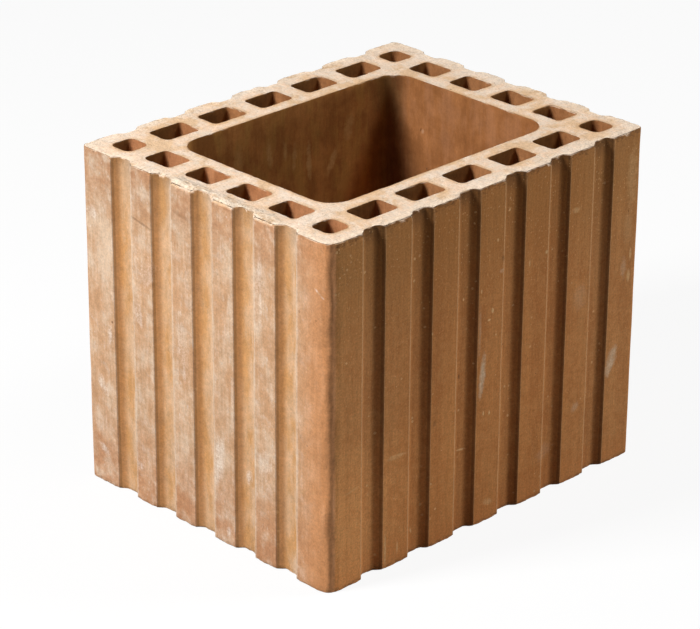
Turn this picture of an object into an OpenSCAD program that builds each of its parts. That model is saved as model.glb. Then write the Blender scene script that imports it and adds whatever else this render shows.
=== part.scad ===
// Hollow fired-clay building block: one extruded piece with a large core,
// a ring of perforations through its walls and keying grooves on all four faces.
// It stands on its lower bed face, with the origin at the middle of that face.

/* [Block] */
// Length of the block, along its longer faces
block_l = 300; // [260:1:375]
// Width of the block, along its shorter faces
block_w = 240; // [200:1:300]
// Height between the two cut bed faces
block_h = 249; // [115:1:300]
// Radius of the four upright outer edges
edge_r = 5; // [2:0.5:12]

/* [Core] */
// Thickness of the clay ring between the outer faces and the core
ring_t = 46; // [41:0.5:56]
// Radius of the core's upright corners
core_r = 17; // [4:0.5:25]

/* [Perforations] */
// Number of perforations in each longer wall, between its corner holes
long_holes = 5; // [3:1:6]
// Number of perforations in each shorter wall, between its corner holes
short_holes = 4; // [2:1:5]
// Length of a perforation in the longer walls
long_hole_l = 29; // [20:0.5:33]
// Length of a perforation in the shorter walls
short_hole_l = 25; // [18:0.5:29]
// Size of the perforations across the wall
hole_t = 19.5; // [14:0.5:23]
// Clay between an outer face and its row of perforations
face_web = 15; // [12:0.5:19]
// Radius of the perforations' corners
hole_r = 3; // [1:0.5:6]
// Side of the square hole at each corner of the ring
corner_hole = 18.5; // [13:0.5:22]
// Clay between the outer faces and a corner hole
corner_web = 14.2; // [11:0.1:18]
// Radius of the corner holes' corners
corner_hole_r = 5; // [2:0.5:6]

/* [Keying grooves] */
// Width of a groove at the face
groove_w = 20; // [14:0.5:24]
// Depth of a groove below the face
groove_d = 4.5; // [2.5:0.5:6.5]
// Slope of the groove's walls, measured from the face
groove_slope = 43; // [38:1:60]
// Radius between the groove's walls and its floor
groove_r = 4.5; // [1:0.5:6]

/* [Hidden] */
// How far a cut starts outside the face that it opens
overcut = 1;
// How far a groove's rounds run past its floor and walls, so that they cross and leave no sliver
lap = 0.002;
// Smoothness of the round corners
$fn = 64;

core_l = block_l - 2 * ring_t;
core_w = block_w - 2 * ring_t;

// Lengths of wall left between the corner holes, and the equal webs that part the holes there
long_span = block_l - 2 * (corner_web + corner_hole);
short_span = block_w - 2 * (corner_web + corner_hole);
long_web = (long_span - long_holes * long_hole_l) / (long_holes + 1);
short_web = (short_span - short_holes * short_hole_l) / (short_holes + 1);

clay = [0.80, 0.61, 0.46];

// Places of the holes along a wall, from its middle
function hole_places(count, hole_l, web) =
    [for (i = [0 : count - 1]) (i - (count - 1) / 2) * (hole_l + web)];

// Places of the webs along a wall, from its middle: one more than the holes
function web_places(count, hole_l, web) =
    [for (i = [0 : count]) (i - count / 2) * (hole_l + web)];

// Rectangle with round corners, about its centre
module round_rect(l, w, r) {
    square([l - 2 * r, w], center = true);
    square([l, w - 2 * r], center = true);
    for (x = [-1, 1], y = [-1, 1])
        translate([x * (l / 2 - r), y * (w / 2 - r)])
            circle(r);
}

// Section of one groove, cut upwards from a face along the X axis: sloped walls, flat floor
// and a round between them
module groove() {
    floor_half = groove_w / 2 - groove_d / tan(groove_slope);
    round_x = floor_half - groove_r * tan(groove_slope / 2);
    round_y = groove_d - groove_r;
    wall_x = round_x + groove_r * sin(groove_slope);
    wall_y = round_y + groove_r * cos(groove_slope);
    mouth_half = groove_w / 2 + overcut / tan(groove_slope);
    polygon([
        [-mouth_half, -overcut],
        [mouth_half, -overcut],
        [wall_x, wall_y],
        [round_x, groove_d],
        [-round_x, groove_d],
        [-wall_x, wall_y]
    ]);
    for (x = [-round_x, round_x])
        translate([x, round_y])
            circle(groove_r + lap);
}

// Grooves along both faces of one pair, opposite the webs between the holes
module groove_pair(places, face) {
    for (turn = [0, 180], x = places)
        rotate(turn)
            translate([x, -face])
                groove();
}

// Perforations in both walls of one pair
module hole_pair(places, hole_l, face) {
    for (side = [-1, 1], x = places)
        translate([x, side * (face - face_web - hole_t / 2)])
            round_rect(hole_l, hole_t, hole_r);
}

// Square holes where the walls meet
module corner_holes() {
    inset = corner_web + corner_hole / 2;
    for (x = [-1, 1], y = [-1, 1])
        translate([x * (block_l / 2 - inset), y * (block_w / 2 - inset)])
            round_rect(corner_hole, corner_hole, corner_hole_r);
}

// The section that the clay leaves the die with
module block_section() {
    difference() {
        round_rect(block_l, block_w, edge_r);
        round_rect(core_l, core_w, core_r);
        corner_holes();
        hole_pair(hole_places(long_holes, long_hole_l, long_web), long_hole_l, block_w / 2);
        groove_pair(web_places(long_holes, long_hole_l, long_web), block_w / 2);
        rotate(90) {
            hole_pair(hole_places(short_holes, short_hole_l, short_web), short_hole_l, block_l / 2);
            groove_pair(web_places(short_holes, short_hole_l, short_web), block_l / 2);
        }
    }
}

module hollow_block() {
    color(clay)
        linear_extrude(height = block_h)
            block_section();
}

hollow_block();
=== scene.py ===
import math

import bpy
from mathutils import Euler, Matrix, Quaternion, Vector


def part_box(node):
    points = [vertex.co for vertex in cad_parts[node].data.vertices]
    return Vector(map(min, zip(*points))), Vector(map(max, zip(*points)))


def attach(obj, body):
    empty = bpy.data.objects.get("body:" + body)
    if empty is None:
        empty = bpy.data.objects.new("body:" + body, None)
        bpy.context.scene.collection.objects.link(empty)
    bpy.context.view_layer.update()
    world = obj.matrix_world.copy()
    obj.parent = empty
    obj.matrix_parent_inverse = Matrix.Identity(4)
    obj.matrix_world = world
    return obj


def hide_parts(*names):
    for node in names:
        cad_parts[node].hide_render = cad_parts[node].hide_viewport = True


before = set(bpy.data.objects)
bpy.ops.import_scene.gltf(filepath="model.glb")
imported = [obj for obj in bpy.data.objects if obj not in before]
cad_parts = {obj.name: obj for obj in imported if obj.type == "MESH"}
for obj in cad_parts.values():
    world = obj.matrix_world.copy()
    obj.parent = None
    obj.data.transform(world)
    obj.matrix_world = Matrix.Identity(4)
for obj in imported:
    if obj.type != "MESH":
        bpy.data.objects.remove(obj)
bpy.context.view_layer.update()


# The block: one piece of fired clay, pressed through a die so that its section runs unchanged from
# bed to bed, and cut to height with wires. It has a large core, a ring of perforations and keying
# grooves opposite the webs between them; cutting and handling have chipped its arrises.
MM = 0.001
half_length, half_width, full_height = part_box("hollow_block")[1]
die = {
    "Length": 2 * half_length,
    "Width": 2 * half_width,
    "Height": full_height,
    "Edge round": 5.0 * MM,
    "Ring": 46.0 * MM,
    "Core round": 17.0 * MM,
    "Long holes": 5,
    "Short holes": 4,
    "Long hole": 29.0 * MM,
    "Short hole": 25.0 * MM,
    "Hole depth": 19.5 * MM,
    "Face web": 15.0 * MM,
    "Hole round": 3.0 * MM,
    "Corner hole": 18.5 * MM,
    "Corner web": 14.2 * MM,
    "Corner hole round": 5.0 * MM,
    "Groove width": 20.0 * MM,
    "Groove depth": 4.5 * MM,
    "Groove slope": math.radians(43.0),
    "Groove round": 4.5 * MM,
    "Arris round": 0.4 * MM,
    "Face step": 1.6 * MM,
    "Core step": 2.5 * MM,
    "Hole step": 3.2 * MM,
    "Face rings": 44,
    "Core rings": 30,
    "Hole rings": 16,
    "Face strip": 9.5 * MM,
    "Hole strip": 4.0 * MM,
    "Strip rings": 5,
    "Wear": 0.8 * MM,
    "Chip": 2.0 * MM,
    "Wave": 0.5 * MM,
    "Dent": 1.1 * MM,
}
# Values of the mesh's "wall" mark
FACE, CORE, HOLE = 0.0, 1.0, 2.0


def groove_pitch(sizes, face_half, holes, hole):
    """Step from groove to groove along a face: one hole and the web that follows it."""
    span = 2 * (face_half - sizes["Corner web"] - sizes["Corner hole"])
    return hole + (span - holes * hole) / (holes + 1)


class Wire:
    """One socket of a node tree. Sums, products and powers of wires add Math nodes."""

    def __init__(self, bench, socket):
        self.bench = bench
        self.socket = socket

    def __getitem__(self, name):
        return Wire(self.bench, self.socket.node.outputs[name])

    def __add__(self, other):
        return self.bench.math("ADD", self, other)

    def __sub__(self, other):
        return self.bench.math("SUBTRACT", self, other)

    def __rsub__(self, other):
        return self.bench.math("SUBTRACT", other, self)

    def __mul__(self, other):
        return self.bench.math("MULTIPLY", self, other)

    def __truediv__(self, other):
        return self.bench.math("DIVIDE", self, other)

    def __rtruediv__(self, other):
        return self.bench.math("DIVIDE", other, self)

    def __pow__(self, other):
        return self.bench.math("POWER", self, other)

    def __neg__(self):
        return self.bench.math("MULTIPLY", self, -1.0)

    def __abs__(self):
        return self.bench.math("ABSOLUTE", self)

    __radd__ = __add__
    __rmul__ = __mul__


class Bench:
    """A node tree under construction."""

    def __init__(self, tree):
        self.tree = tree

    def node(self, kind, settings=None, sockets=(), out=0):
        """Adds a node, sets it, then fills its sockets, given in order or by name."""
        made = self.tree.nodes.new(kind)
        for name, value in (settings or {}).items():
            setattr(made, name, value)
        pairs = sockets.items() if isinstance(sockets, dict) else enumerate(sockets)
        for key, value in pairs:
            for each in value if isinstance(value, list) else [value]:
                if isinstance(each, Wire):
                    self.tree.links.new(each.socket, made.inputs[key])
                elif each is not None:
                    made.inputs[key].default_value = each
        return Wire(self, made.outputs[out]) if len(made.outputs) else None

    def math(self, operation, *values):
        return self.node("ShaderNodeMath", {"operation": operation}, values)

    def most(self, *values):
        """The largest of several values."""
        largest = values[0]
        for value in values[1:]:
            largest = self.math("MAXIMUM", largest, value)
        return largest

    def least(self, first, second):
        return self.math("MINIMUM", first, second)

    def vector_math(self, operation, *values):
        return self.node("ShaderNodeVectorMath", {"operation": operation}, values)

    def scaled(self, vector, size):
        return self.node("ShaderNodeVectorMath", {"operation": "SCALE"}, {"Vector": vector, "Scale": size})

    def point(self, x=0.0, y=0.0, z=0.0):
        return self.node("ShaderNodeCombineXYZ", {}, (x, y, z))

    def split(self, vector):
        parts = self.node("ShaderNodeSeparateXYZ", {}, (vector,))
        return parts["X"], parts["Y"], parts["Z"]

    def rise(self, value, start, end):
        """Goes smoothly from 0 at start to 1 at end."""
        return self.node("ShaderNodeMapRange", {"interpolation_type": "SMOOTHSTEP"}, (value, start, end))

    def fall(self, value, start, end):
        """Goes smoothly from 1 at start to 0 at end."""
        return self.rise(value, end, start)

    def noise(self, vector, size, detail=2.0, rough=0.5):
        """Soft random patches of about the given size, from 0 to 1."""
        sockets = {"Vector": vector, "Scale": 1.0 / size, "Detail": detail, "Roughness": rough}
        return self.node("ShaderNodeTexNoise", {}, sockets)

    def blend(self, share, first, second):
        """Mixes two colours, each a wire or a red, green and blue."""
        first, second = [each if isinstance(each, Wire) else (*each, 1.0) for each in (first, second)]
        return self.node("ShaderNodeMix", {"data_type": "RGBA"}, {0: share, 6: first, 7: second}, out=2)

    def tinted(self, colour, share, tint):
        """Multiplies a colour by a tint, as far as share says."""
        return self.vector_math("MULTIPLY", colour, self.blend(share, (1.0, 1.0, 1.0), tint))


def cleared(owner):
    """The bench of a material or a world, without the nodes that it comes with."""
    owner.use_nodes = True
    owner.node_tree.nodes.clear()
    return Bench(owner.node_tree)


# The clay, ochre to brown, matt and open-grained: where a point lies on the block
clay = bpy.data.materials.new("fired_clay")
kiln = cleared(clay)
place = kiln.node("ShaderNodeTexCoord")["Object"]
x, y, z = kiln.split(place)
run = x - y
from_left, from_front, from_top = half_length + x, half_width + y, full_height - z
behind_end, behind_long = half_length - abs(x), half_width - abs(y)


def mark(name, kind="Fac"):
    """What the mesh says of a point."""
    return kiln.node("ShaderNodeAttribute", {"attribute_name": name})[kind]


bed_mark, wall_mark, broken_mark, lip_mark = mark("bed"), mark("wall"), mark("broken"), mark("lip")
hole_side = kiln.rise(wall_mark, CORE + 0.4, CORE + 0.6)
core_side = kiln.rise(wall_mark, FACE + 0.4, FACE + 0.6) * (1 - hole_side)
hollow_side = kiln.most(core_side, hole_side)
outer_side = 1 - hollow_side
off_bed = 1 - bed_mark
land = kiln.fall(kiln.least(behind_end, behind_long), 0.4 * MM, 1.0 * MM)
left_face = kiln.rise(from_front - from_left, -8 * MM, -4 * MM) * kiln.fall(from_left, 6 * MM, 8 * MM)
left_face = left_face * outer_side
front_face = kiln.fall(from_front, 6 * MM, 8 * MM) * outer_side * (1 - left_face)

# Where it lies across the grooves, whose rows are centred on the faces: six on a long face, five on an end
groove_half = die["Groove width"] / 2
long_pitch = groove_pitch(die, half_length, die["Long holes"], die["Long hole"])
short_pitch = groove_pitch(die, half_width, die["Short holes"], die["Short hole"])
across_long = (kiln.math("FRACT", x / long_pitch) - 0.5) * long_pitch
across_short = (kiln.math("FRACT", y / short_pitch + 0.5) - 0.5) * short_pitch
end_face = kiln.math("LESS_THAN", behind_end, behind_long)
across_groove = across_long + end_face * (across_short - across_long)
from_groove = abs(across_groove)
long_row_end = die["Long holes"] / 2 * long_pitch + groove_half + 5 * MM
short_row_end = die["Short holes"] / 2 * short_pitch + groove_half + 5 * MM
in_long_row = kiln.fall(abs(x) + end_face, long_row_end, long_row_end + 2 * MM)
in_short_row = kiln.fall(abs(y), short_row_end, short_row_end + 2 * MM) * end_face
grooved = (in_long_row + in_short_row) * outer_side
sunk = (1 - land) * grooved


def stretched(scale, size, detail=2.0, rough=0.5):
    """Patches that are longer along an axis with a small scale."""
    return kiln.noise(kiln.vector_math("MULTIPLY", place, scale), size, detail, rough)


def drawn(upright, size, detail, rough):
    """Patches on the upright faces, longer upwards where upright is under 1."""
    return kiln.noise(kiln.point(run, 0.0, z * upright), size, detail, rough)


# Grain, slanting brush strokes, upright drag streaks of the die and cloudy firing
grain = kiln.noise(place, 1.5 * MM, 3.0, 0.72)
streaks = stretched((1.0, 1.0, 0.09), 2.4 * MM, 3.0, 0.6)
bands = stretched((1.0, 1.0, 0.03), 14.0 * MM)
strokes = kiln.noise(kiln.point((run * 0.97 - z * 0.25) * 0.08, run * 0.25 + z * 0.97), 1.9 * MM, 3.0, 0.6)
cloud = kiln.noise(place, 60.0 * MM, 3.0, 0.55)
small_cloud = kiln.noise(place, 17.0 * MM, 4.0, 0.62)
mottle = kiln.noise(place, 5.0 * MM, 4.0, 0.65)
uneven = (mottle - 0.5) * 2.2
jittered = kiln.vector_math("ADD", place, kiln.scaled(kiln.noise(place, 1.0 * MM)["Color"], 1.0 * MM))


def blotch(along, across, up, half_across, half_up, lean):
    """A ragged oval spot on a face, its centre and half sizes in millimetres, its lean in degrees."""
    aside, above = along - across * MM, z - up * MM
    sine, cosine = math.sin(math.radians(lean)), math.cos(math.radians(lean))
    wide = aside * (cosine / (half_across * MM)) + above * (sine / (half_across * MM))
    tall = above * (cosine / (half_up * MM)) - aside * (sine / (half_up * MM))
    return kiln.rise(uneven - wide * wide - tall * tall, -1.0, 0.2)


def spotted(ground, tint, along, face, spots):
    """Lays spots on one face. Each row has a blotch's place, half sizes and lean, then its strength."""
    for across, up, half_across, half_up, lean, strength in spots:
        spot = blotch(along, across, up, half_across, half_up, lean) * face
        ground = kiln.blend(spot * strength, ground, tint)
    return ground


def dotted(size, radius, share):
    """Round specks in a share of the cells of the given size, with radii up to the one given."""
    cell = kiln.node("ShaderNodeTexVoronoi", {}, {"Vector": jittered, "Scale": 1.0 / size})
    chance = kiln.node("ShaderNodeSeparateColor", {}, (cell["Color"],))
    speck = kiln.math("LESS_THAN", cell["Distance"], radius / size * (0.35 + 0.65 * chance["Green"]))
    return speck * kiln.math("LESS_THAN", chance["Red"], share)


# Skin of the die: brown, darker and more olive near the top, redder at the foot
ochre, brown = (0.66, 0.300, 0.102), (0.48, 0.195, 0.060)
olive, rusty = (0.41, 0.186, 0.052), (0.62, 0.235, 0.070)
skin = kiln.blend(kiln.rise(bands * 0.25 + small_cloud * 0.35 + mottle * 0.4, 0.40, 0.60), ochre, brown)
skin = kiln.blend(kiln.fall(from_top, 4 * MM, 100 * MM) * 0.65, skin, olive)
skin = kiln.blend(kiln.fall(z, 3 * MM, 30 * MM) * 0.4, skin, rusty)
pale_foot = kiln.fall(from_left, 20 * MM, 130 * MM) * kiln.fall(z, 50 * MM, 125 * MM)
dark_head = kiln.rise(z, 80 * MM, 170 * MM) * kiln.rise(from_left, 30 * MM, 90 * MM)
skin = kiln.scaled(skin, 1 + pale_foot * 0.27 - dark_head * 0.08)
red_middle = kiln.rise(from_left, 40 * MM, 95 * MM) * kiln.fall(x, 60 * MM, 120 * MM)
skin = kiln.tinted(skin, red_middle, (1.0, 0.94, 0.86))

# Pinkish salts on the lands of the left face, thin near the front edge
bare_clay, thin_salt, thick_salt = (0.70, 0.315, 0.130), (0.705, 0.405, 0.222), (0.785, 0.575, 0.40)
veil_salt, red_salt, white_salt = (0.86, 0.70, 0.56), (0.65, 0.325, 0.165), (0.90, 0.77, 0.66)
smears = drawn(0.4, 9.0 * MM, 4.0, 0.6)
bloom = cloud * 0.26 + small_cloud * 0.30 + smears * 0.24 + streaks * 0.12 + mottle * 0.08
salt = kiln.blend(kiln.rise(bloom, 0.42, 0.59), thin_salt, thick_salt)
veil = kiln.noise(kiln.point((run * 0.8 - z * 0.6) * 0.75, 0.0, run * 0.6 + z * 0.8), 10.0 * MM, 5.0, 0.62)
salt = kiln.blend(kiln.rise(veil * 0.75 + streaks * 0.25, 0.50, 0.62) * 0.36, salt, veil_salt)
near_beds = kiln.most(kiln.fall(from_top, 6 * MM, 50 * MM), kiln.fall(z, 8 * MM, 60 * MM))
reddened = near_beds * kiln.fall(veil * 0.5 + small_cloud * 0.3 + mottle * 0.2, 0.42, 0.62)
salt = kiln.blend(reddened * 0.8, salt, red_salt)
flecks = kiln.rise(drawn(0.35, 1.7 * MM, 2.0, 0.6), 0.60, 0.68) * kiln.rise(small_cloud, 0.45, 0.58)
salt = kiln.blend(flecks * 0.5, salt, white_salt)
salt = kiln.tinted(salt, kiln.fall(z, 35 * MM, 75 * MM), (0.96, 0.90, 0.87))
skin = kiln.blend(left_face, skin, bare_clay)
skin = kiln.blend(left_face * land * (0.1 + 0.85 * kiln.rise(from_front, 8 * MM, 38 * MM)), skin, salt)

# Floors of the grooves: golden on the left face, with painted light making them creamy on their near side and
# painted shade making them brown on the far one
gold_floor, pale_floor, painted_lit_floor, painted_shaded_floor = (
    (0.69, 0.365, 0.145), (0.775, 0.49, 0.28), (0.80, 0.60, 0.43), (0.63, 0.295, 0.105))
golden = drawn(0.4, 13.0 * MM, 4.0, 0.6)
# Painted light and shade across the floors of the left face's grooves
lit_floor_share = kiln.fall(across_short, -7 * MM, 1.5 * MM) * kiln.rise(streaks * 0.5 + golden * 0.5, 0.36, 0.56)
groove_floor = kiln.blend(kiln.rise(golden, 0.38, 0.64), gold_floor, pale_floor)
groove_floor = kiln.blend(lit_floor_share * 0.75, groove_floor, painted_lit_floor)
groove_floor = kiln.blend(kiln.rise(across_short, 1 * MM, 8 * MM) * 0.75, groove_floor, painted_shaded_floor)
skin = kiln.blend(left_face * sunk * 0.95, skin, groove_floor)
# Painted shade: the floors of the front face's grooves darker, as the shade of their walls
skin = kiln.scaled(skin, 1 - 0.12 * front_face * sunk)
far_top = left_face * kiln.fall(from_top, 8 * MM, 50 * MM) * kiln.rise(y, -60 * MM, 60 * MM)
whole_top = left_face * kiln.fall(from_top, 30 * MM, 70 * MM)
skin = kiln.scaled(skin, 1 - 0.10 * far_top - 0.06 * whole_top)

# Walls of the core and of the holes, dull umber with pale runs down the core's back, painted shade in the
# holes and the back corner, and painted light on hole walls facing the left lamp
core_x, core_y = half_length - die["Ring"], half_width - die["Ring"]
deep_umber, umber, olive_haze, pink_haze = (
    (0.325, 0.131, 0.029), (0.46, 0.200, 0.054), (0.44, 0.228, 0.053), (0.48, 0.222, 0.105))
hazed = drawn(0.35, 15.0 * MM, 4.0, 0.62)
dull = kiln.rise(small_cloud * 0.35 + hazed * 0.3 + mottle * 0.1 + bands * 0.25, 0.40, 0.60)
back_wall = core_side * kiln.rise(y, core_y - 14 * MM, core_y - 2 * MM)
right_wall = core_side * kiln.rise(x, core_x - 14 * MM, core_x - 2 * MM)
# Painted shade in the core's back corner, where neither lamp reaches
core_corner_shade = kiln.rise(x, core_x - 42 * MM, core_x - 4 * MM) * kiln.rise(y, core_y - 16 * MM, core_y - MM)
core_corner_shade = core_corner_shade * core_side
russet = kiln.blend(dull, (0.38, 0.143, 0.050), (0.45, 0.178, 0.070))
inner = kiln.blend(right_wall * 0.6, kiln.blend(dull, deep_umber, umber), russet)
inner = kiln.blend(back_wall * kiln.rise(hazed, 0.44, 0.62) * 0.6, inner, olive_haze)
inner = kiln.blend(right_wall * kiln.rise(hazed, 0.46, 0.64) * 0.4, inner, pink_haze)
inner = spotted(inner, (0.53, 0.31, 0.115), x, back_wall, (
    (-19, 219, 3.4, 15, 8, 0.8),
    (-4, 216, 2.6, 10, 4, 0.6),
    (4.6, 211, 2.8, 13, -3, 0.6),
    (19, 202, 3.2, 18, 1, 0.8),
    (42, 198, 4.2, 14, -28, 0.7),
    (58, 219, 6.0, 12, -11, 0.55),
    (-48, 222, 7.0, 12, 0, 0.4)))
inner = spotted(inner, (0.66, 0.40, 0.24), y, right_wall, ((45.8, 211.0, 1.6, 2.4, 20, 0.6),))
inner = spotted(inner, (0.16, 0.06, 0.02), y, right_wall, ((47.8, 212.0, 0.9, 2.4, 20, 0.8),))
# Painted shade: the hole walls darker, as the shade inside the deep holes, and the core's back corner darker;
# the back and right walls of the core a little darker
inner = kiln.scaled(inner, 1 - 0.40 * hole_side - 0.45 * core_corner_shade - 0.07 * back_wall - 0.09 * right_wall)
# Painted light: the hole walls that face the left lamp lighter and more orange, the more so nearer the left
# end
painted_lit_wall = kiln.blend(dull, (0.49, 0.195, 0.078), (0.58, 0.255, 0.115))
facing_left = kiln.rise(kiln.split(mark("into", "Vector"))[0], 0.2, 0.8)
lamp_facing_light = facing_left * (0.45 + 0.45 * kiln.fall(from_left, 40 * MM, 120 * MM))
inner = kiln.blend(hole_side * lamp_facing_light, inner, painted_lit_wall)
colour = kiln.blend(outer_side, inner, skin)

# Arrises of the grooves paler, most of all on a groove's near side, with a line of painted shade just inside
# them
pale_arris = kiln.blend(left_face, (0.74, 0.46, 0.24), (0.89, 0.72, 0.54))
near_arris = kiln.math("LESS_THAN", across_groove, 0.0)
arris_width = 0.9 * MM + 0.9 * MM * left_face
arris_paling = kiln.fall(abs(from_groove - groove_half - 0.1 * MM), 0.3 * MM, arris_width) * grooved
arris_paling = arris_paling * (0.2 - 0.2 * left_face + 0.4 * near_arris) * (1 + 0.2 * left_face)
colour = kiln.blend(arris_paling * kiln.rise(mottle, 0.25, 0.5), colour, pale_arris)
# Painted shade: a dark line just inside each arris of the grooves
shaded = kiln.fall(abs(from_groove - groove_half + 0.9 * MM), 0.5 * MM, 1.1 * MM) * grooved
colour = kiln.scaled(colour, 1 - 0.28 * shaded)

# The torn beds show the pale inside: peach and straw clouds, brown stains beside the holes, and chalky lumps
# along the outer arris, most of all on a torn band along the left rim. The outer lip is partly a painted
# highlight; hole rims, gaps and pits get painted shade.
cream, peach, straw, milky = (0.86, 0.685, 0.545), (0.81, 0.59, 0.435), (0.75, 0.51, 0.32), (0.91, 0.77, 0.66)
stain, rim_shade_and_pits, chalk = (0.64, 0.39, 0.20), (0.34, 0.18, 0.075), (0.89, 0.745, 0.60)
gap_shade, tear, pit_shade = (0.58, 0.37, 0.20), (0.66, 0.44, 0.25), (0.42, 0.235, 0.105)
ripe = kiln.noise(place, 26.0 * MM, 5.0, 0.65)
torn = stretched((0.16, 1.0, 1.0), 3.0 * MM, 3.0, 0.65)
lumps = stretched((1.0, 0.4, 1.0), 4.5 * MM, 3.0, 0.6)
shaded_pits = kiln.fall(kiln.noise(place, 2.6 * MM, 3.0, 0.65), 0.29, 0.37)
rim_band = kiln.rise(y, -72 * MM, -64 * MM) * kiln.fall(y, 26 * MM, 40 * MM)
rim_band = rim_band * kiln.fall(from_left, 6 * MM, 13 * MM) * bed_mark
inside = kiln.blend(kiln.rise(small_cloud * 0.4 + mottle * 0.6, 0.43, 0.57), cream, peach)
inside = kiln.blend(kiln.rise(ripe, 0.51, 0.61) * 0.95, inside, straw)
inside = kiln.blend(kiln.fall(ripe, 0.36, 0.48) * 0.5, inside, milky)
beside_hole = lip_mark ** 0.5 * hollow_side * kiln.rise(small_cloud, 0.38, 0.58)
inside = kiln.blend(beside_hole * 0.7, inside, stain)
# Dark rims of the holes: pits, and painted shade
hole_rim_shade_and_pits = kiln.rise(lip_mark, 0.66, 0.90) * hollow_side * kiln.rise(small_cloud, 0.42, 0.56)
inside = kiln.blend(hole_rim_shade_and_pits * 0.6, inside, rim_shade_and_pits)
# Chalky lumps along the outer lip, partly a painted highlight
chalk_and_highlight_lip = lip_mark * outer_side * kiln.rise(mottle, 0.40, 0.58)
inside = kiln.blend(kiln.most(chalk_and_highlight_lip, rim_band * kiln.rise(lumps, 0.42, 0.58)), inside, chalk)
# Painted shadow in the gaps between the lumps of the torn band
inside = kiln.blend(rim_band * kiln.fall(lumps, 0.34, 0.47) * 0.6, inside, gap_shade)
inside = kiln.blend(kiln.rise(torn, 0.54, 0.70) * 0.45, inside, tear)
# Dark pits, painted as the shade inside them
inside = kiln.blend(shaded_pits * 0.5, inside, pit_shade)
inside = kiln.vector_math("MULTIPLY", inside, (1.07, 1.06, 1.02))
torn_open = kiln.most(bed_mark, broken_mark)
colour = kiln.blend(torn_open, colour, inside)

# Scuffs, golden smears, salt blooms and burnt spots where they are seen on the two faces in view
skinned = outer_side * (1 - torn_open)
front_skin, left_skin = front_face * skinned, left_face * skinned
colour = spotted(colour, (0.70, 0.48, 0.30), x, front_skin, (
    (-6.5, 112, 3.6, 20, -6, 1.0), (126, 80, 6, 15, -20, 0.95), (11, 184, 4, 2.2, 0, 0.5),
    (89, 56, 5, 5, 0, 0.4), (90, 140, 9, 12, 0, 0.2), (-10, 145, 1.6, 24, 0, 0.35),
    (60, 30, 12, 8, 0, 0.2), (135, 148, 4, 10, 0, 0.4)))
colour = spotted(colour, (0.86, 0.57, 0.27), x, front_skin, (
    (1.8, 157.6, 1.5, 2.4, 10, 0.9), (-1.3, 151.7, 1.8, 1.0, 0, 0.8), (-4.7, 83.6, 0.9, 2.2, 0, 0.9),
    (1.2, 82.1, 0.9, 2.2, 0, 0.9), (54, 184.5, 1.6, 1.8, 0, 0.9), (37.4, 181, 1.2, 4.0, 0, 0.6),
    (-22, 171.7, 1.0, 1.5, 0, 0.7), (-55.6, 159, 0.9, 1.6, 0, 0.7), (-22, 60.8, 6.0, 1.0, -8, 0.6),
    (140.4, 141, 2.4, 6.0, 0, 0.55), (141.5, 157, 1.5, 6.0, 0, 0.5), (5.4, 207.7, 1.2, 1.6, 0, 0.7),
    (83, 206.7, 6.0, 2.6, 0, 0.35), (-9.5, 175, 0.9, 2.0, 0, 0.6), (60, 229, 1.8, 1.8, 0, 0.6),
    (-90, 80, 9.0, 2.0, -8, 0.3), (-97.5, 14, 1.6, 14, 0, 0.7), (-86, 81, 11, 1.2, -8, 0.4),
    (-128, 70, 9, 1.2, 10, 0.25), (-69, 17, 1.0, 3.0, 15, 0.7), (140, 215, 7, 30, 0, 0.25),
    (138, 178, 6, 18, 0, 0.2), (2, 14, 7, 3.0, -20, 0.35), (-86, 12, 1.2, 6, 0, 0.5)))
broken_up = 0.3 + 0.9 * kiln.rise(grain * 0.5 + streaks * 0.5, 0.44, 0.60)
colour = spotted(colour, white_salt, y, left_skin * broken_up, (
    (-15, 62, 7, 22, 8, 0.75), (-40, 56, 4, 7, 0, 0.8), (-24, 11, 3, 4, 0, 0.8), (94, 116, 4, 9, 0, 0.6),
    (110, 203, 8, 6, 20, 0.7), (64, 142, 5, 12, -15, 0.5), (103, 75, 5, 10, -30, 0.6),
    (66, 27, 6, 4, 40, 0.7), (104, 26, 7, 4, 30, 0.6), (-110, 214.5, 4.5, 1.0, 34, 0.5),
    (72, 225, 5, 14, 0, 0.5), (-55, 200, 6, 30, 3, 0.35), (-60, 75, 8, 12, 20, 0.45),
    (20, 130, 6, 30, -6, 0.35), (55, 175, 9, 14, 25, 0.4), (-113, 212, 2.0, 0.8, 34, 0.5)))
burnt = (0.20, 0.085, 0.03)
colour = spotted(colour, burnt, x, front_skin, (
    (11.0, 193, 2.2, 3.0, 0, 0.7), (137.7, 190, 0.9, 1.0, 0, 0.9), (-24.8, 116, 1.0, 2.2, 0, 0.9),
    (-52, 92, 2.0, 3.0, 0, 0.4)))
colour = spotted(colour, burnt, y, left_skin, (
    (60, 210.4, 15, 1.3, 11, 0.55), (92, 127, 1.2, 1.2, 0, 0.9), (118, 225, 2.5, 3.0, 0, 0.6),
    (20, 228, 11, 2.0, 8, 0.35)))

# Painted shadow in torn crevices and under the upper arris, dark patches along the foot, and painted shade at
# the tops of the grooves
level = drawn(2.2, 4.0 * MM, 3.0, 0.65)
# Painted shadow under the overhanging upper arris
crevice_shadow = kiln.rise(level, 0.50, 0.62) * kiln.fall(from_top, 2 * MM, 6.5 * MM)
under_lip_shadow = kiln.rise(level, 0.36, 0.5) * kiln.fall(from_top, 0.8 * MM, 3.2 * MM)
painted_lip_shadow = kiln.most(crevice_shadow * 0.75, under_lip_shadow * 0.6) * skinned * (1 - 0.7 * left_face)
colour = kiln.blend(painted_lip_shadow, colour, (0.15, 0.065, 0.025))
# Dark patches along the foot
dark_foot = kiln.rise(level, 0.42, 0.56) * kiln.fall(z, 1.0 * MM, 4.0 * MM) * skinned
colour = kiln.blend(dark_foot * (0.6 - 0.3 * left_face), colour, (0.22, 0.10, 0.04))
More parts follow.
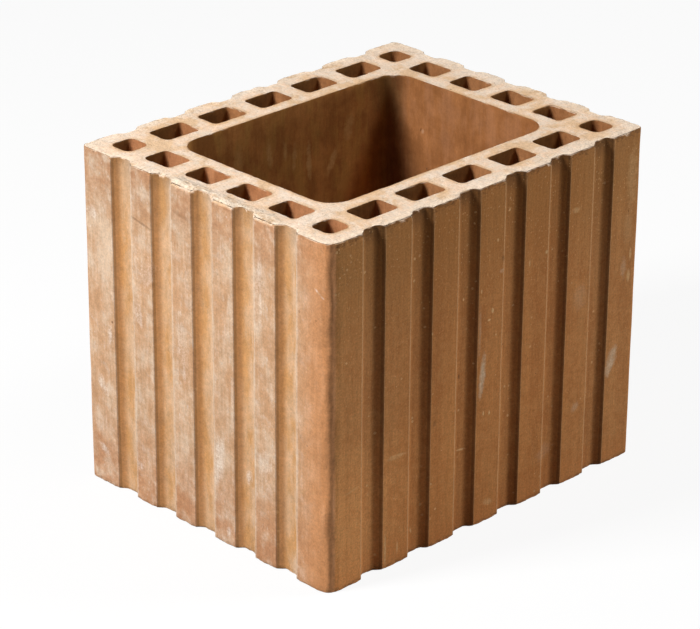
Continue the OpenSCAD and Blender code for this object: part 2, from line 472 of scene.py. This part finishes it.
# Painted shade at the tops of the grooves, stronger on the front face
groove_top_shade = sunk * skinned * kiln.fall(from_top, 2 * MM, 16 * MM)
colour = kiln.scaled(colour, 1 - groove_top_shade * (0.4 - 0.25 * left_face))

# Lime specks, golden dust near the head of the front edge, and burnt specks
swarm = kiln.rise(kiln.noise(place, 24.0 * MM), 0.46, 0.60) * skinned * (1 - 0.6 * left_face)
colour = kiln.blend(dotted(5.0 * MM, 1.1 * MM, 0.4) * swarm * 0.5, colour, (0.84, 0.55, 0.26))
peppered = front_skin * (0.3 + 0.5 * kiln.rise(z, 120 * MM, 200 * MM)) * kiln.rise(small_cloud, 0.40, 0.60)
colour = kiln.blend(dotted(2.2 * MM, 0.7 * MM, 0.45) * peppered * 0.5, colour, (0.74, 0.45, 0.19))
front_dust = front_skin * kiln.fall(from_left, 8 * MM, 30 * MM) * kiln.fall(from_top, 12 * MM, 50 * MM)
left_dust = left_skin * kiln.fall(abs(from_front - 4 * MM), 3 * MM, 8 * MM)
left_dust = left_dust * kiln.fall(abs(from_top - 42 * MM), 6 * MM, 18 * MM)
dusted = front_dust + left_dust
colour = kiln.blend(dotted(3.2 * MM, 1.0 * MM, 0.5) * dusted * 0.7, colour, (0.80, 0.53, 0.25))
colour = kiln.blend(dotted(15.0 * MM, 1.1 * MM, 0.25) * (0.7 - 0.4 * left_face), colour, (0.14, 0.06, 0.03))

# Light and dark of the grain over all of it, and the relief that it has
grainy = (grain - 0.5) * (0.65 + 0.25 * bed_mark + 0.25 * front_face - 0.2 * core_side)
streaky = (streaks - 0.5) * (0.4 - 0.15 * left_face) + (strokes - 0.5) * 0.1
mottled = (mottle - 0.5) * (0.45 + 0.2 * bed_mark - 0.3 * core_side)
colour = kiln.scaled(colour, 1 + grainy + streaky * off_bed + mottled + (small_cloud - 0.5) * 0.4)
front_edge = kiln.fall(kiln.most(from_left, from_front), 4.5 * MM, 8 * MM) * outer_side * off_bed
skin_relief = grain * (0.12 * MM) + (streaks * (0.14 * MM) + strokes * (0.03 * MM)) * off_bed
bed_relief = (torn * (0.5 * MM) + mottle * (1.6 * MM) + grain * (0.2 * MM)) * bed_mark
edge_relief = rim_band * lumps * (3.0 * MM) + front_edge * (kiln.noise(place, 9.0 * MM) - 0.5) * (1.2 * MM)
relief = skin_relief + bed_relief + edge_relief
bump = kiln.node("ShaderNodeBump", {}, {"Strength": 1.0, "Distance": 1.0, "Height": relief})
shader = kiln.node("ShaderNodeBsdfPrincipled", {}, {
    "Base Color": colour, "Roughness": 0.92, "Specular IOR Level": 0.25, "Normal": bump})
kiln.node("ShaderNodeOutputMaterial", {}, {"Surface": shader})

# The die and the cutting, as a node tree with the sizes above as its inputs
tree = bpy.data.node_groups.new("block pressed and cut", "GeometryNodeTree")
tree.interface.new_socket("Block", in_out="OUTPUT", socket_type="NodeSocketGeometry")
identifiers = {}
for name, size in die.items():
    kind = "NodeSocketInt" if isinstance(size, int) else "NodeSocketFloat"
    identifiers[name] = tree.interface.new_socket(name, in_out="INPUT", socket_type=kind).identifier
press = Bench(tree)
given = press.node("NodeGroupInput")
length, width, height = given["Length"], given["Width"], given["Height"]
position = press.node("GeometryNodeInputPosition")
normal = press.node("GeometryNodeInputNormal")
index = press.node("GeometryNodeInputIndex")
quarter = math.radians(90.0)


def line(start, end):
    return press.node("GeometryNodeCurvePrimitiveLine", {}, {"Start": start, "End": end})


def moved(shape, shift=None, turn=None, scale=None):
    sockets = {"Geometry": shape, "Translation": shift, "Rotation": turn, "Scale": scale}
    return press.node("GeometryNodeTransform", {}, sockets)


def arc(centre, radius, start, sweep, steps):
    sockets = {"Resolution": steps, "Radius": radius, "Start Angle": start, "Sweep Angle": sweep}
    return moved(press.node("GeometryNodeCurveArc", {"mode": "RADIUS"}, sockets), centre)


def joined(*shapes):
    return press.node("GeometryNodeJoinGeometry", {}, {"Geometry": list(reversed(shapes))})


def welded(edges, distance=0.02 * MM):
    return press.node("GeometryNodeMergeByDistance", {}, {"Geometry": edges, "Distance": distance})


def wired(curves):
    """Plain edges, welded where they meet."""
    return welded(press.node("GeometryNodeCurveToMesh", {}, {"Curve": curves}))


def set_out(shape, spots):
    copies = press.node("GeometryNodeInstanceOnPoints", {}, {"Points": spots, "Instance": shape})
    return press.node("GeometryNodeRealizeInstances", {}, {"Geometry": copies})


def grid(size_x, size_y, count_x, count_y):
    sockets = {"Size X": size_x, "Size Y": size_y, "Vertices X": count_x, "Vertices Y": count_y}
    return press.node("GeometryNodeMeshGrid", {}, sockets)


def round_hole(long_side, short_side, radius, steps):
    sockets = {"Width": long_side, "Height": short_side}
    box = press.node("GeometryNodeCurvePrimitiveQuadrilateral", {}, sockets)
    sockets = {"Curve": box, "Radius": radius, "Count": steps}
    return press.node("GeometryNodeFilletCurve", {"mode": "POLY"}, sockets)


# Half of one groove, from the middle of its floor up its wall and round the arris to the land
slope = given["Groove slope"]
sine, cosine = press.math("SINE", slope), press.math("COSINE", slope)
half_tangent = press.math("TANGENT", slope / 2)
groove_depth, groove_round, arris_round = given["Groove depth"], given["Groove round"], given["Arris round"]
mouth_half = given["Groove width"] / 2
round_x = mouth_half - groove_depth * cosine / sine - groove_round * half_tangent
round_y = groove_depth - groove_round
arris_x = mouth_half + arris_round * half_tangent
wall_foot = press.point(round_x + groove_round * sine, round_y + groove_round * cosine)
wall_head = press.point(arris_x - arris_round * sine, arris_round - arris_round * cosine)


def face_line(face_half, holes, pitch):
    """The edges of one face with its grooves and the round at its right-hand end."""
    half = joined(
        line(press.point(0.0, groove_depth), press.point(round_x, groove_depth)),
        arc(press.point(round_x, round_y), groove_round, quarter - slope, slope, 5),
        line(wall_foot, wall_head),
        arc(press.point(arris_x, arris_round), arris_round, 3 * quarter - slope, slope, 4),
        line(press.point(arris_x), press.point(pitch / 2)))
    groove = wired(joined(half, moved(half, scale=(-1.0, 1.0, 1.0))))
    first = press.point(holes * pitch * -0.5)
    sockets = {"Count": holes + 1, "Start Location": first, "Offset": press.point(pitch)}
    grooves = set_out(groove, press.node("GeometryNodeMeshLine", {}, sockets))
    land_end = (holes + 1) * pitch * 0.5
    corner = face_half - given["Edge round"]
    ends = joined(
        line(press.point(land_end), press.point(corner)),
        line(press.point(-land_end), press.point(-corner)),
        arc(press.point(corner, given["Edge round"]), given["Edge round"], 3 * quarter, quarter, 9))
    return joined(grooves, wired(ends))


long_step = groove_pitch(given, length / 2, given["Long holes"], given["Long hole"])
short_step = groove_pitch(given, width / 2, given["Short holes"], given["Short hole"])
front = face_line(length / 2, given["Long holes"], long_step)
end = face_line(width / 2, given["Short holes"], short_step)
half_round = joined(moved(front, press.point(0.0, width * -0.5)),
                    moved(end, press.point(length / 2), (0.0, 0.0, quarter)))
all_round = welded(joined(half_round, moved(half_round, None, (0.0, 0.0, 2 * quarter))))
outer_line = press.node("GeometryNodeReverseCurve", {}, {
    "Curve": press.node("GeometryNodeMeshToCurve", {}, {"Mesh": all_round})})

# Core, two rows of holes each way and the four corner holes
core_line = round_hole(length - 2 * given["Ring"], width - 2 * given["Ring"], given["Core round"], 9)
row_set = given["Face web"] + given["Hole depth"] / 2
corner_set = given["Corner web"] + given["Corner hole"] / 2
long_rows = set_out(
    round_hole(given["Long hole"], given["Hole depth"], given["Hole round"], 4),
    grid(long_step * (given["Long holes"] - 1), width - 2 * row_set, given["Long holes"], 2))
short_rows = set_out(
    round_hole(given["Hole depth"], given["Short hole"], given["Hole round"], 4),
    grid(length - 2 * row_set, short_step * (given["Short holes"] - 1), 2, given["Short holes"]))
corner_holes = set_out(
    round_hole(given["Corner hole"], given["Corner hole"], given["Corner hole round"], 5),
    grid(length - 2 * corner_set, width - 2 * corner_set, 2, 2))
hole_lines = joined(long_rows, short_rows, corner_holes)


def noted(shape, name, value, kind="FLOAT"):
    settings = {"data_type": kind, "domain": "POINT"}
    return press.node("GeometryNodeStoreNamedAttribute", settings,
                      {"Geometry": shape, "Name": name, "Value": value})


def recalled(name, kind="FLOAT"):
    return press.node("GeometryNodeInputNamedAttribute", {"data_type": kind}, {"Name": name})


def swept(outline, wall, step, rings, rail, bunching):
    """The wall on an outline, with a strip of each bed out to a rail and closer rings near the beds."""
    strips = given["Strip rings"]
    last_ring = strips + rings - 1
    stick = press.node("GeometryNodeResampleCurve", {"mode": "COUNT"},
                       {"Curve": line((0.0, 0.0, 0.0), (1.0, 0.0, 0.0)), "Count": rings + 2 * strips})
    level_share = press.node("ShaderNodeMapRange", {}, (index, strips, last_ring, -1.0, 1.0))
    bunched = 1 - (1 - abs(level_share)) ** bunching
    ring_height = height * (0.5 + 0.5 * press.math("SIGN", level_share) * bunched)
    strip_share = (press.most(strips - index, index - last_ring, 0.0) / strips) ** 1.7
    profile = press.node("GeometryNodeSetPosition", {}, {
        "Geometry": stick, "Position": press.point(strip_share * MM, -ring_height)})
    profile = noted(noted(profile, "share", strip_share), "rise", ring_height)
    following = press.node("GeometryNodeOffsetPointInCurve", {}, {"Point Index": index, "Offset": 1})
    next_place = press.node("GeometryNodeFieldAtIndex", {"data_type": "FLOAT_VECTOR", "domain": "POINT"},
                            {"Index": following["Point Index"], "Value": position})
    cuts = press.math("FLOOR", press.vector_math("DISTANCE", position, next_place)["Value"] / step)
    fine = press.node("GeometryNodeSubdivideCurve", {}, {"Curve": outline, "Cuts": cuts})
    upright = press.node("GeometryNodeSetCurveNormal", {"mode": "Z_UP"}, {"Curve": fine})
    named = noted(noted(upright, "base", position, "FLOAT_VECTOR"), "into", normal, "FLOAT_VECTOR")
    named = noted(noted(named, "wall", wall), "rail", rail, "FLOAT_VECTOR")
    skin_mesh = press.node("GeometryNodeCurveToMesh", {}, {"Curve": named, "Profile Curve": profile})
    foot = press.vector_math("ADD", recalled("base", "FLOAT_VECTOR"),
                             press.scaled(recalled("rail", "FLOAT_VECTOR"), recalled("share")))
    stood = press.vector_math("ADD", foot, press.point(0.0, 0.0, recalled("rise")))
    return press.node("GeometryNodeSetPosition", {}, {"Geometry": skin_mesh, "Position": stood})


inner_corner = press.point(length / 2 - given["Face strip"], width / 2 - given["Face strip"])
held = press.vector_math("MAXIMUM", position, press.scaled(inner_corner, -1.0))
held = press.vector_math("MINIMUM", held, inner_corner)
face_rail = press.vector_math("SUBTRACT", held, position)
hole_rail = press.scaled(normal, given["Hole strip"])
walls = joined(swept(outer_line, FACE, given["Face step"], given["Face rings"], face_rail, 1.6),
               swept(core_line, CORE, given["Core step"], given["Core rings"], hole_rail, 2.0),
               swept(hole_lines, HOLE, given["Hole step"], given["Hole rings"], hole_rail, 2.4))

# The beds close the strips
edge_faces = press.node("GeometryNodeInputMeshEdgeNeighbors")
high_up = press.math("GREATER_THAN", press.split(position)[2], height / 2)
rim = press.math("LESS_THAN", edge_faces, 1.5) * high_up
rim_lines = press.node("GeometryNodeMeshToCurve", {}, {"Mesh": walls, "Selection": rim})
bed = press.node("GeometryNodeFillCurve", {"mode": "TRIANGLES"}, {"Curve": rim_lines})
bed = noted(bed, "bed", 1.0)
upper_bed = moved(bed, press.point(0.0, 0.0, height))
lower_bed = press.node("GeometryNodeFlipFaces", {}, {"Mesh": bed})

# Where a point lies on its wall: above or below, how far from the beds, and on which side of the block
ring_height, share = recalled("rise"), recalled("share")
base, into = recalled("base", "FLOAT_VECTOR"), recalled("into", "FLOAT_VECTOR")
base_x, base_y = press.split(base)[:2]
depth = share * press.vector_math("LENGTH", recalled("rail", "FLOAT_VECTOR"))["Value"]
outside = press.math("LESS_THAN", recalled("wall"), (FACE + CORE) / 2)
upper = press.math("SIGN", ring_height - height / 2)
above = 0.5 + 0.5 * upper
from_bed = press.least(ring_height, height - ring_height)
far_side = press.most(press.rise(base_x, length / 2 - 20 * MM, length / 2 - 6 * MM),
                      press.rise(base_y, width / 2 - 20 * MM, width / 2 - 6 * MM)) * outside
front_corner = length / 2 + width / 2
sound = press.rise(-(base_x + base_y), front_corner - 30 * MM, front_corner - 14 * MM)

# Wear along the arrises and chips in them, fewer on the two far sides and none at the sound front corner.
# The arrises of the two beds lie apart in the noise, so that they differ.
bed_apart = 0.4
spot = press.point(base_x, base_y, upper * bed_apart)
ragged = press.noise(spot, 8.0 * MM, 3.0, 0.55)
patch = press.noise(spot, 38.0 * MM, 1.0)
chipped = press.rise(patch * 0.6 + ragged * 0.5, 0.54, 0.74) * (0.3 + 1.4 * ragged) * (0.25 + 0.75 * above)
chipped = chipped * (1 - sound) * (1 - 0.75 * far_side)
worn = (0.2 + 1.6 * press.rise(ragged, 0.3, 0.75)) * (0.5 + 0.5 * above) * (1 - 0.45 * far_side)
chip = (given["Wear"] * worn + given["Chip"] * chipped) * (0.3 + 0.7 * outside)
left_end = press.scaled(press.point(length), -0.5)
for aside, reach, deep in ((20, 16, 3.2), (-20, 15, 2.8), (-58, 13, 2.8)):
    here = press.vector_math("ADD", left_end, (0.0, aside * MM, bed_apart))
    away = press.vector_math("DISTANCE", spot, here)["Value"]
    placed = press.fall(away, reach * 0.55 * MM, reach * MM) * (deep * MM) * (0.4 + 1.1 * ragged)
    chip = press.most(chip, placed)
flaked = press.most(chip - depth - from_bed, 0.0) / 2
on_end = press.math("LESS_THAN", length / 2 - abs(base_x), width / 2 - abs(base_y))
off_long = abs(press.math("FRACT", base_x / long_step) - 0.5) * long_step
off_short = abs(press.math("FRACT", base_y / short_step + 0.5) - 0.5) * short_step
from_arris = abs(off_long + on_end * (off_short - off_long) - mouth_half - 0.8 * MM)
worn_corner = press.fall(from_arris, 0.0, 4.5 * MM) * outside * (1 - sound) * (0.5 + ragged)
chip = press.most(chip, worn_corner * (2.4 * MM) * (0.4 + 0.6 * above) * (1 - 0.6 * far_side))
chip = press.least(chip, given["Hole strip"] * 0.9)
crumb = press.noise(position, 2.2 * MM, 2.0, 0.6) - 0.5
bite = press.most(chip - depth - from_bed, 0.0) / 2 * (1 + 2.2 * crumb)

# Dents in the upright edges, most of all in the front one, and the slight waves of wet clay
at_corner = (press.rise(abs(base_x), length / 2 - 12 * MM, length / 2 - 2 * MM)
             * press.rise(abs(base_y), width / 2 - 12 * MM, width / 2 - 2 * MM)) * outside
foremost = press.rise(-(base_x + base_y), 0.0, 200 * MM)
dent_place = press.vector_math("MULTIPLY", position, (1.0, 1.0, 0.7))
dented = press.rise(press.noise(dent_place, 18.0 * MM), 0.32, 0.72)
dent = given["Dent"] * at_corner * (0.2 * dented + foremost * (0.4 + 1.1 * dented))
wave = given["Wave"] * (press.noise(position, 70.0 * MM, 1.0) - 0.3)
inward = bite + press.fall(share, 0.0, 0.8) * (wave + dent)
offset = press.vector_math("ADD", press.scaled(into, inward), press.point(0.0, 0.0, -(upper * bite)))
on_strip = press.rise(share, 0.0, 0.02)
walls = noted(walls, "bed", on_strip)
walls = noted(walls, "broken", press.rise(flaked, 0.15 * MM, 0.45 * MM))
walls = noted(walls, "lip", (1 - share) * on_strip)
walls = press.node("GeometryNodeSetPosition", {}, {"Geometry": walls, "Offset": offset})

# One closed skin, smooth but for its arrises and its broken spots
whole = welded(joined(walls, upper_bed, lower_bed), 0.005 * MM)
gentle = 1 - press.math("GREATER_THAN", press.node("GeometryNodeInputMeshEdgeAngle"), math.radians(38.0))
whole = press.node("GeometryNodeSetShadeSmooth", {"domain": "EDGE"}, {
    "Geometry": whole, "Shade Smooth": gentle})
crumbly = press.math("GREATER_THAN", recalled("broken"), 0.4)
whole = press.node("GeometryNodeSetShadeSmooth", {"domain": "FACE"}, {
    "Geometry": whole, "Selection": crumbly, "Shade Smooth": False})
whole = press.node("GeometryNodeRealizeInstances", {}, {"Geometry": whole})
whole = press.node("GeometryNodeSetMaterial", {}, {"Geometry": whole, "Material": clay})
press.node("NodeGroupOutput", {}, {"Block": whole})

mould = bpy.data.objects.new("mould", bpy.data.meshes.new("mould"))
bpy.context.scene.collection.objects.link(mould)
pressing = mould.modifiers.new("pressing", "NODES")
pressing.node_group = tree
for name, size in die.items():
    pressing[identifiers[name]] = size
ready = mould.evaluated_get(bpy.context.evaluated_depsgraph_get())
block = bpy.data.objects.new("clay_block", bpy.data.meshes.new_from_object(ready))
bpy.context.scene.collection.objects.link(block)
bpy.data.objects.remove(mould)
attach(block, "root")
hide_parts("hollow_block")


# The floor and the surroundings: white paper that keeps the block's shadow, and pale air. Both look
# white to the camera and throw back little light of their own, so that they don't lighten the clay.
WHITE, GREY = (1.0, 1.0, 1.0, 1.0), (0.3, 0.3, 0.3, 1.0)
floor_half = 6.0
floor_corners = [(side_x * floor_half, side_y * floor_half, 0.0)
                 for side_x, side_y in ((-1, -1), (1, -1), (1, 1), (-1, 1))]
floor_mesh = bpy.data.meshes.new("floor")
floor_mesh.from_pydata(floor_corners, [], [(0, 1, 2, 3)])
floor = bpy.data.objects.new("floor", floor_mesh)
bpy.context.scene.collection.objects.link(floor)


def in_view(bench):
    """1 for the rays that bring a surface into the picture, straight, mirrored or through glass."""
    rays = bench.node("ShaderNodeLightPath")
    return bench.most(rays["Is Camera Ray"], rays["Is Glossy Ray"], rays["Is Transmission Ray"])


paper = bpy.data.materials.new("white_paper")
sheet = cleared(paper)
dim_paper = sheet.node("ShaderNodeBsdfDiffuse", {}, {"Color": GREY})
white_paper = sheet.node("ShaderNodeBsdfDiffuse", {}, {"Color": WHITE})
glow = sheet.node("ShaderNodeEmission", {}, {"Color": WHITE, "Strength": 1.0})
bright_paper = sheet.node("ShaderNodeMixShader", {}, (0.9, white_paper, glow))
surface = sheet.node("ShaderNodeMixShader", {}, (in_view(sheet), dim_paper, bright_paper))
sheet.node("ShaderNodeOutputMaterial", {}, {"Surface": surface})
floor_mesh.materials.append(paper)

surroundings = bpy.data.worlds.new("studio")
air = cleared(surroundings)
dim_air = air.node("ShaderNodeBackground", {}, {"Color": WHITE, "Strength": 0.02})
white_air = air.node("ShaderNodeBackground", {}, {"Color": WHITE, "Strength": 1.0})
surface = air.node("ShaderNodeMixShader", {}, (in_view(air), dim_air, white_air))
air.node("ShaderNodeOutputWorld", {}, {"Surface": surface})
bpy.context.scene.world = surroundings


# The lamps: three soft boxes turned to the middle of the block. The strongest hangs over the left end,
# a second one over the right-hand front, and a low one fills the front from the right.
middle = Vector((0.0, 0.0, full_height / 2))
for name, way, wide, tall, distance, power in (
        ("window_light", (-0.71, 0.217, 0.669), 0.42, 0.42, 1.9, 36.5),
        ("ceiling_light", (0.472, -0.396, 0.79), 0.55, 0.55, 2.2, 16.0),
        ("fill_light", (0.765, -0.642, 0.05), 0.7, 0.5, 2.2, 15.6)):
    lamp_data = bpy.data.lights.new(name, "AREA")
    lamp_data.shape = "RECTANGLE"
    lamp_data.size = wide
    lamp_data.size_y = tall
    lamp_data.energy = power
    lamp = bpy.data.objects.new(name, lamp_data)
    way = Vector(way).normalized()
    lamp.location = middle + way * distance
    lamp.rotation_euler = way.to_track_quat("Z", "Y").to_euler()
    bpy.context.scene.collection.objects.link(lamp)


# The camera: a long lens in front of the corner between a long and a short face, looking down on the
# upper bed, a little askew and a little off the block's axis.
camera_data = bpy.data.cameras.new("camera")
camera_data.sensor_width = 36.0
camera_data.lens = 159.43
camera_data.clip_end = 50.0
heading, dip, askew = math.radians(44.67), math.radians(24.63), math.radians(0.37)
aim = Vector((0.0, 0.0, 119.0 * MM))
stand = Vector((-9.24 * MM, -3.05 * MM, 2153.8 * MM))
turned = Euler((quarter - dip, 0.0, -heading)).to_quaternion() @ Quaternion((0, 0, 1), askew)
camera = bpy.data.objects.new("camera", camera_data)
camera.rotation_euler = turned.to_euler()
camera.location = aim + turned @ stand
bpy.context.scene.collection.objects.link(camera)
bpy.context.scene.camera = camera
bpy.context.scene.view_settings.view_transform = "Standard"
